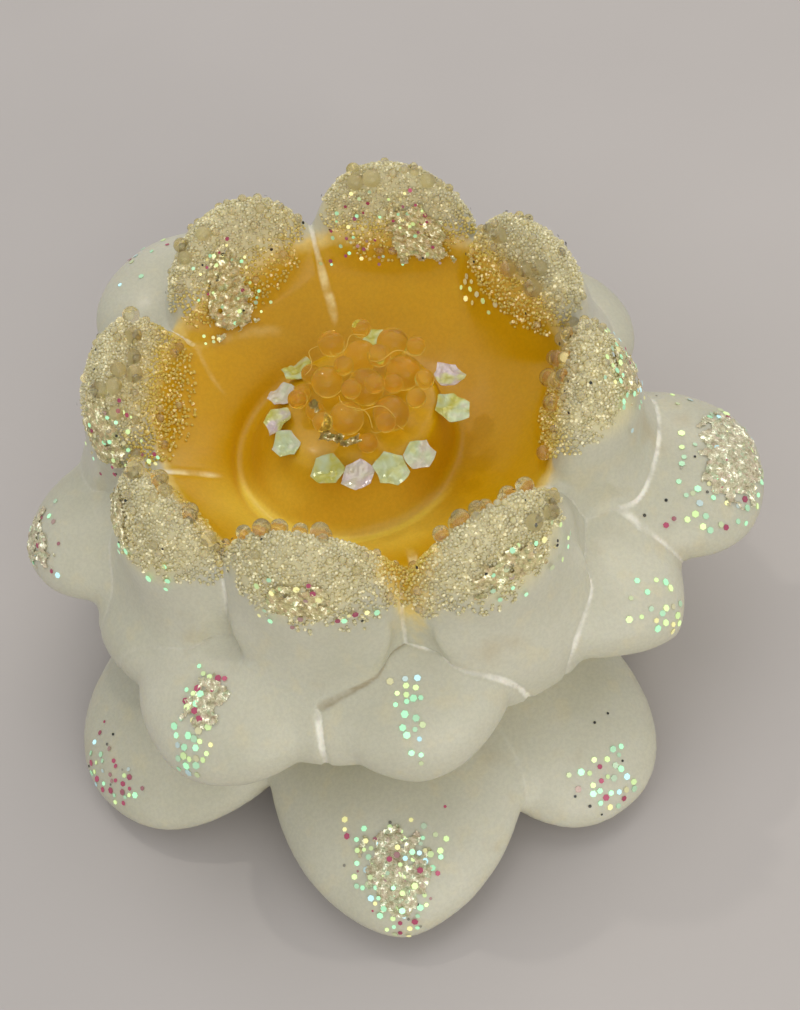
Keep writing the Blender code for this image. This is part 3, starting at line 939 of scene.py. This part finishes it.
def glitter(ground):
    """Hexagonal flakes strewn over the petals, nearly flat, and dark specks on the crusts."""
    dice = random.Random(5)
    heap = Heap()
    laid = []
    flake = shape_of(bmesh.ops.create_cone, cap_ends=True, segments=6, radius1=0.5, radius2=0.5, depth=0.06)
    for petal, along, around, count, size, lift, colours in GLITTER:
        for _ in range(count):
            t = dice.uniform(*along)
            seat = ground.seat(petal.point(t, radians(dice.uniform(*around))), 1.6)
            if seat is None or any((other - seat[0]).length < FLAKE_SPACING * size for other in laid):
                continue
            laid.append(seat[0])
            turn = tilted(seat[1], FLAKE_LEAN, dice) * size * dice.uniform(0.7, 1.12)
            shade = GLITTER_COLOURS[dice.choice(colours.split())][0]
            # the last value is the flake's painted glint
            heap.add(flake, turn, seat[0] + seat[1] * (lift + 0.07), shade, dice.random() ** 0.7)
    for petal, row in zip(INNER, CRUSTS):
        for _ in range(SPECKS):
            angle = dice.uniform(0, 2 * pi)
            t = dice.uniform(crust_edge(row, angle) - 0.02, 0.99)
            seat = ground.seat(petal.point(t, angle), 1.0)
            if seat:
                turn = tilted(seat[1], SPECK_LEAN, dice) * dice.uniform(0.28, 0.42)
                heap.add(flake, turn, seat[0] + seat[1] * 0.55, GLITTER_COLOURS["black"][0])
    add_piece("glitter_flakes", heap.mesh("glitter_flakes", smooth=False), glitter_film())


def foils(ground):
    """Strips of crumpled film pressed on the petals, with ragged edges."""
    silver, gold = foil("silver_film", (1.0, 0.97, 0.90)), foil("gold_film", (1.0, 0.90, 0.60))
    for number, (petal, (t_low, t_high), (first, last), lift, ragged) in enumerate(FOILS, 1):
        long = (petal.point(t_high, radians(first)) - petal.point(t_low, radians(first))).length
        wide = (petal.point(t_low, radians(last)) - petal.point(t_low, radians(first))).length
        rows, columns = max(int(long / FILM_STEP), 6), max(int(wide / FILM_STEP), 6)
        bm = bmesh.new()
        grid = {}
        for i in range(rows + 1):
            for j in range(columns + 1):
                t = t_low + (t_high - t_low) * i / rows
                angle = radians(first + (last - first) * j / columns)
                seat = ground.seat(petal.point(t, angle), 2.0)
                if seat is None:
                    continue
                rim = 4 * min(i / rows, 1 - i / rows) * 4 * min(j / columns, 1 - j / columns)
                if min(rim, 1.2) + 1.3 * ragged * noise.noise(seat[0] / 1.1 + Vector((number, 0, 0))) < 0.5:
                    continue
                fold = abs(noise.noise(seat[0] / 0.7)) + 0.6 * abs(noise.noise(seat[0] / 0.3))
                grid[i, j] = bm.verts.new((seat[0] + seat[1] * (lift + 0.4 * fold)) * MM)
        for i, j in grid:
            ring = [grid.get(key) for key in ((i, j), (i + 1, j), (i + 1, j + 1), (i, j + 1))]
            if None not in ring:
                bm.faces.new(ring)
        loose = [vertex for vertex in bm.verts if not vertex.link_faces]
        bmesh.ops.delete(bm, geom=loose, context="VERTS")
        mesh = film_of(bm, f"foil_{number}", FILM_THICKNESS)
        add_piece(mesh.name, mesh, gold if petal in INNER else silver)


def cup_beads():
    """The beads glued on the mound, round and smooth, each in its CAD bead's place."""
    finish = bead_glass(
        "amber_beads",
        pale=(0.98, 0.76, 0.14),
        deep=(0.95, 0.66, 0.07),
        thin=(1.0, 0.86, 0.30),
        **CUP_GLASS,
    )
    ball = shape_of(bmesh.ops.create_icosphere, subdivisions=4, radius=1.0)
    dice = random.Random(3)
    for number in range(1, BEAD_COUNT + 1):
        low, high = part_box(f"bead_{number:02d}")
        heap = Heap()
        size = Matrix.Diagonal((high - low) / 2 / MM)
        heap.add(ball, size, (low + high) / 2 / MM, dice.uniform(0.2, 1.0))
        name = f"round_bead_{number:02d}"
        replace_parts(add_piece(name, heap.mesh(name), finish), f"bead_{number:02d}")


def sequins():
    """Thin folded hexagons in the CAD sequins' places."""
    finish = sequin_film()
    dice = random.Random(8)
    for number in range(1, SEQUIN_COUNT + 1):
        low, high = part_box(f"sequin_{number:02d}")
        centre = (low + high) / 2 / MM
        bearing = degrees(atan2(centre.x, centre.y))
        normal = place_at(bearing, sin(SEQUIN_LEAN), cos(SEQUIN_LEAN)).normalized()
        axes = tilted(normal, (-10, 10), dice)
        fold, across = dice.uniform(0.25, 0.6), dice.uniform(1.7, 2.05)
        bm = bmesh.new()
        bmesh.ops.create_circle(bm, cap_ends=True, cap_tris=True, segments=6, radius=1.0)
        bmesh.ops.subdivide_edges(bm, edges=bm.edges[:], cuts=5, use_grid_fill=True)
        for vertex in bm.verts:
            x, y, _ = vertex.co
            stretch = 1 + 0.3 * noise.noise(Vector((x, y, number)) * 0.8)
            bend = fold * abs(0.5 * x + 0.6 * y) + 0.12 * noise.noise(Vector((x, y, number)) * 2.5)
            place = Vector((x * stretch, y * stretch, bend - 0.1)) * across
            vertex.co = (centre + normal * 0.25 + axes @ place) * MM
        mesh = film_of(bm, f"folded_sequin_{number:02d}", SEQUIN_THICKNESS)
        write_attribute(mesh, "shade", np.full(len(mesh.vertices), dice.random()))
        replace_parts(add_piece(mesh.name, mesh, finish), f"sequin_{number:02d}")


def tube(bm, route, radius, around=12):
    """A round wire through these places, closed at both ends."""
    rings = []
    for i, place in enumerate(route):
        along = (route[min(i + 1, len(route) - 1)] - route[max(i - 1, 0)]).normalized()
        axes = along.to_track_quat("Z", "Y").to_matrix()
        angles = [2 * pi * k / around for k in range(around)]
        spokes = [Vector((cos(angle), sin(angle), 0)) * radius for angle in angles]
        rings.append([bm.verts.new((place + axes @ spoke) * MM) for spoke in spokes])
    first, last = ([bm.verts.new(route[i] * MM)] for i in (0, -1))
    join_rings(bm, [first, *rings, last])


def hanger():
    """The crimped cap over the neck and the sprung wire loop through its end."""
    inner = NECK_RADIUS + GAP
    end = NECK_END + GAP
    outer = inner + CAP_WALL
    profile = [(0.0, end + CAP_WALL), (outer - 1.2, end + CAP_WALL), (outer - 0.35, end + CAP_WALL - 0.12)]
    profile += [(outer, end - 0.1), (outer, end - 1.2), (outer - 0.12, end - 1.5), (outer, end - 1.8)]
    profile += [(outer, end - CAP_LENGTH + 1.2), (outer + CAP_LIP, end - CAP_LENGTH)]
    profile += [(inner, end - CAP_LENGTH), (inner, end), (0.0, end)]
    bm = bmesh.new()
    spun(bm, profile, steps=144)
    for vertex in bm.verts:
        x, y, z = vertex.co / MM
        skirt = step_up(end - z, 1.9, 2.6) * (hypot(x, y) > inner + 0.2)
        flute = 1 - 0.022 * skirt * (1 + cos(FLUTES * atan2(y, x)))
        vertex.co = Vector((x * flute, y * flute, z)) * MM
    bmesh.ops.transform(bm, matrix=neck_frame(), verts=bm.verts)
    bmesh.ops.recalc_face_normals(bm, faces=bm.faces)
    brass = bare_metal("cap_brass", (0.83, 0.66, 0.36), (0.42, 0.30, 0.14), 0.22)
    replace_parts(add_piece("fluted_cap", mesh_of(bm, "fluted_cap"), brass), "hanger_cap")
    eye = NECK_END + GAP + CAP_WALL + 1.2 + LOOP_RADIUS
    turn = pi - LOOP_MOUTH
    route = [(-2.5, NECK_END - 7.0), (-2.0, NECK_END - 2.0), (-LEG_SPREAD, NECK_END + 0.3)]
    angles = [turn * (2 * i / LOOP_STEPS - 1) for i in range(LOOP_STEPS + 1)]
    route += [(LOOP_RADIUS * sin(angle), eye + LOOP_RADIUS * cos(angle)) for angle in angles]
    route += [(-x, y) for x, y in reversed(route[:3])]
    raised = Vector((0, 0, NECK_HEIGHT))
    places = [outward(NECK_BEARING) * y + sideways(NECK_BEARING) * x + raised for x, y in route]
    bm = bmesh.new()
    tube(bm, places, WIRE_RADIUS)
    bmesh.ops.recalc_face_normals(bm, faces=bm.faces)
    steel = bare_metal("wire_steel", (0.72, 0.72, 0.71), (0.4, 0.38, 0.35), 0.2)
    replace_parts(add_piece("wire_loop", mesh_of(bm, "wire_loop"), steel), "hanger_loop")


def glue_threads():
    """Fine strings of set glue drawn across the beads."""
    dice = random.Random(21)
    bm = bmesh.new()
    for bearing, radius, turn, length, height in THREADS:
        start = place_at(bearing, radius, height)
        along = outward(turn)
        bow = dice.uniform(0.3, 0.8)
        steps = [k / THREAD_STEPS for k in range(THREAD_STEPS + 1)]
        route = [start + along * length * k + Vector((0, 0, bow * sin(pi * k))) for k in steps]
        route = [place + sideways(turn) * 0.5 * sin(2.2 * pi * k) for place, k in zip(route, steps)]
        tube(bm, route, dice.uniform(0.03, 0.05), 6)
    bmesh.ops.recalc_face_normals(bm, faces=bm.faces)
    finish = Finish("set_glue", Roughness=0.15)
    finish.set({"Base Color": finish.mix(finish.noise(2.0), (0.68, 0.42, 0.03), (0.78, 0.54, 0.12))})
    finish.set({"Normal": finish.bump(finish.noise(0.3, 2.0), 0.03, 0.5)})
    add_piece("glue_threads", mesh_of(bm, "glue_threads"), finish.material)


def film_scraps():
    """Crumpled scraps of golden film caught between the beads."""
    bm = bmesh.new()
    for number, (bearing, radius, turn, long, height) in enumerate(SCRAPS):
        centre = place_at(bearing, radius, height)
        rows = []
        for i in range(SCRAP_ROWS + 1):
            row = []
            for j in range(SCRAP_COLUMNS + 1):
                along, across = i - SCRAP_ROWS / 2, j - SCRAP_COLUMNS / 2
                place = centre + (outward(turn) * along + sideways(turn) * across * 0.8) * long / SCRAP_ROWS
                fold = noise.noise(place / 0.45 + Vector((0, 0, number * 5.0)))
                row.append(bm.verts.new((place + Vector((0.3 * fold, -0.2 * fold, 0.7 * fold))) * MM))
            rows.append(row)
        for near, far in zip(rows, rows[1:]):
            for j in range(SCRAP_COLUMNS):
                bm.faces.new((near[j], far[j], far[j + 1], near[j + 1]))
    mesh = film_of(bm, "film_scraps", FILM_THICKNESS)
    add_piece("film_scraps", mesh, foil("scrap_film", (1.0, 0.84, 0.36)))


def floor():
    bm = bmesh.new()
    bmesh.ops.create_grid(bm, x_segments=8, y_segments=8, size=FLOOR_REACH)
    mesh = mesh_of(bm, "table_surface")
    mesh.materials.append(tabletop())
    obj = new_object("table_surface", mesh)


# ---- the trim's measures

LARGE_BEAD = shape_of(bmesh.ops.create_icosphere, subdivisions=3, radius=1.0)
LARGE_SIZES = (0.82, 1.08)  # smallest and largest radius
GRAINS = (  # tries, smallest and largest radius, shape, height of the centre over the skin in radii
    (45, (0.34, 0.56), LARGE_BEAD, 0.4),
    (9000, (0.16, 0.27), shape_of(bmesh.ops.create_icosphere, subdivisions=1, radius=1.0), 0.45),
)
CELL = 2.2  # side of the cells in which a bead looks for its neighbours
BEAD_SPACING = 0.8  # least distance between two beads' centres, in the sum of their radii
SPIN = 6.3  # just past a full turn
CRUST_GLASS = {
    "clarity": 0.95,
    # strength of the painted glints on the opaque grains
    "sparkle": 0.42,
    "IOR": 1.42,
    "Subsurface Weight": 0.6,
    "Subsurface Radius": (1.0, 0.85, 0.5),
    "Subsurface Scale": 1.2 * MM,
}
CUP_GLASS = {
    "clarity": 0.92,
    "sparkle": 0.0,
    "IOR": 1.24,
    "Subsurface Weight": 0.4,
    "Subsurface Scale": 1.5 * MM,
}
BEAD_COUNT = 24
SEQUIN_COUNT = 11
SEQUIN_LEAN = radians(18)  # outward, away from the heap of beads
SEQUIN_THICKNESS = 0.06
FILM_STEP = 0.22
FILM_THICKNESS = 0.03
FLAKE_SPACING = 0.9  # least distance between two flakes, in their size
FLAKE_LEAN = (-14, 14)
SPECKS = 9  # dark specks on each crust
SPECK_LEAN = (-30, 30)
SCRAP_ROWS, SCRAP_COLUMNS = 12, 7  # cells along and across a scrap
THREAD_STEPS = 14
FLUTES = 24  # round the cap's skirt
LOOP_MOUTH = 0.66  # half the angle that the loop leaves open for its legs
LOOP_STEPS = 40
FLOOR_REACH = 1.2  # metres from the axis to the floor's edge

# ---- where the trim lies, by petal: shares along it, then degrees round it, 90 facing the cup

# How far down the bed reaches inside, outside and at the sides, its lean, and its rows of large beads
CRUSTS = (
    (0.74, 0.86, 0.85, -0.03, ((0.97, 0.995, 100, 190, 4), (0.95, 0.98, 0, 60, 2))),
    (0.72, 0.86, 0.84, 0.0, ((0.90, 0.97, 40, 130, 6),)),
    (0.66, 0.86, 0.84, 0.0, ((0.74, 0.94, 75, 175, 12), (0.7, 0.78, 40, 70, 2))),
    (0.74, 0.80, 0.80, -0.05, ((0.94, 0.985, 20, 175, 11), (0.9, 0.95, 190, 250, 3))),
    (0.76, 0.79, 0.80, 0.05, ((0.94, 0.985, 10, 170, 13),)),
    (0.76, 0.82, 0.82, 0.0, ((0.92, 0.985, 0, 170, 12),)),
    (0.62, 0.84, 0.78, 0.0, ((0.92, 0.985, 0, 200, 9),)),
    (0.70, 0.84, 0.84, 0.03, ((0.94, 0.99, 130, 200, 5),)),
)
COOL = "mint mint lime lime yellow cyan"
MIXED = "mint mint mint lime lime yellow cyan maroon"
GLITTER = (  # petal, along, round, tries, size, lift over the skin, colours
    (MIDDLE[4], (0.76, 0.97), (72, 104), 90, 0.82, 0.0, COOL),
    (MIDDLE[4], (0.58, 0.76), (74, 96), 30, 0.75, 0.1, "mint lime maroon maroon"),
    (MIDDLE[3], (0.6, 0.92), (80, 96), 48, 0.80, 0.0, COOL),
    (MIDDLE[2], (0.72, 0.97), (60, 120), 34, 0.78, 0.0, "mint lime mint lime yellow"),
    (MIDDLE[1], (0.6, 0.97), (35, 150), 95, 0.78, 0.0, MIXED),
    (MIDDLE[5], (0.75, 0.97), (60, 140), 18, 0.68, 0.0, "mint mint cyan maroon"),
    (MIDDLE[6], (0.7, 0.95), (60, 120), 12, 0.68, 0.0, MIXED),
    (OUTER[4], (0.64, 0.99), (60, 116), 90, 0.71, 0.0, MIXED),
    (OUTER[4], (0.7, 0.99), (70, 108), 150, 0.71, 0.25, MIXED),
    (OUTER[3], (0.8, 0.98), (66, 116), 70, 0.80, 0.0, MIXED),
    (OUTER[5], (0.84, 0.98), (55, 115), 60, 0.71, 0.0, "maroon maroon maroon mint lime cyan"),
    (OUTER[0], (0.7, 0.97), (55, 125), 24, 0.71, 0.0, MIXED),
    (OUTER[6], (0.7, 0.97), (55, 125), 18, 0.71, 0.0, MIXED),
    (OUTER[7], (0.7, 0.97), (55, 125), 26, 0.71, 0.0, MIXED),
    (MIDDLE[1], (0.45, 0.96), (40, 150), 12, 0.38, 0.0, "black"),
    (OUTER[5], (0.78, 0.98), (45, 120), 7, 0.38, 0.0, "black maroon"),
    (OUTER[3], (0.7, 0.98), (60, 120), 6, 0.38, 0.0, "black"),
    (OUTER[4], (0.62, 0.98), (60, 120), 12, 0.38, 0.0, "black maroon"),
    (INNER[5], (0.79, 0.88), (235, 285), 9, 0.78, 0.25, "mint lime mint maroon"),
    (INNER[1], (0.68, 0.78), (95, 140), 12, 0.71, 0.1, "yellow lime"),
    (INNER[2], (0.8, 0.97), (225, 300), 40, 0.63, 0.5, MIXED),
    (INNER[3], (0.8, 0.93), (215, 300), 20, 0.68, 0.45, MIXED),
    (INNER[4], (0.8, 0.92), (215, 300), 24, 0.68, 0.45, "yellow lime mint maroon"),
    (INNER[0], (0.74, 0.97), (55, 140), 70, 0.48, 0.5, "yellow lime maroon maroon mint"),
    (INNER[7], (0.68, 0.96), (85, 145), 44, 0.48, 0.5, "yellow lime maroon mint"),
    (INNER[6], (0.74, 0.97), (140, 230), 44, 0.55, 0.5, "mint lime maroon yellow"),
)
FOILS = (  # petal, along, round, lift over the skin, raggedness
    (INNER[0], (0.74, 0.94), (40, 95), 0.35, 0.9),
    (INNER[7], (0.66, 0.95), (92, 132), 0.35, 0.9),
    (INNER[6], (0.78, 0.97), (170, 235), 0.35, 1.0),
    (INNER[2], (0.82, 0.95), (240, 285), 0.35, 1.2),
    (INNER[3], (0.84, 0.94), (245, 300), 0.35, 1.2),
    (INNER[4], (0.83, 0.92), (240, 290), 0.35, 1.1),
    (INNER[5], (0.84, 0.95), (270, 330), 0.3, 1.2),
    (MIDDLE[1], (0.66, 0.96), (55, 140), 0.03, 0.8),
    (MIDDLE[4], (0.58, 0.8), (76, 100), 0.02, 1.0),
    (OUTER[4], (0.64, 0.98), (70, 110), 0.02, 1.1),
    (MIDDLE[5], (0.8, 0.97), (60, 130), 0.02, 1.1),
)
SCRAPS = (  # bearing and radius of the middle, bearing of the long side, length, height
    (214, 7.6, 120, 2.6, 38.6),
    (226, 6.3, 200, 2.2, 38.4),
    (198, 7.6, 80, 2.2, 38.3),
    (250, 5.6, 170, 1.8, 39.2),
)
THREADS = (  # bearing and radius of one end, bearing it runs to, length, height
    (235, 3.0, 150, 6.0, 39.5),
    (300, 6.5, 30, 4.5, 38.6),
    (60, 2.0, 95, 4.6, 41.0),
    (200, 4.0, 120, 5.2, 39.6),
    (330, 3.5, 60, 4.0, 41.0),
    (180, 6.2, 100, 3.6, 38.0),
)

camera()
studio()
floor()
SKIN = skin()
GROUND = Ground(SKIN)
petals = add_piece("petal_skin", SKIN, lacquer())
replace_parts(petals, "glass_body")
all_crusts(GROUND)
glitter(GROUND)
foils(GROUND)
cup_beads()
sequins()
hanger()
glue_threads()
film_scraps()
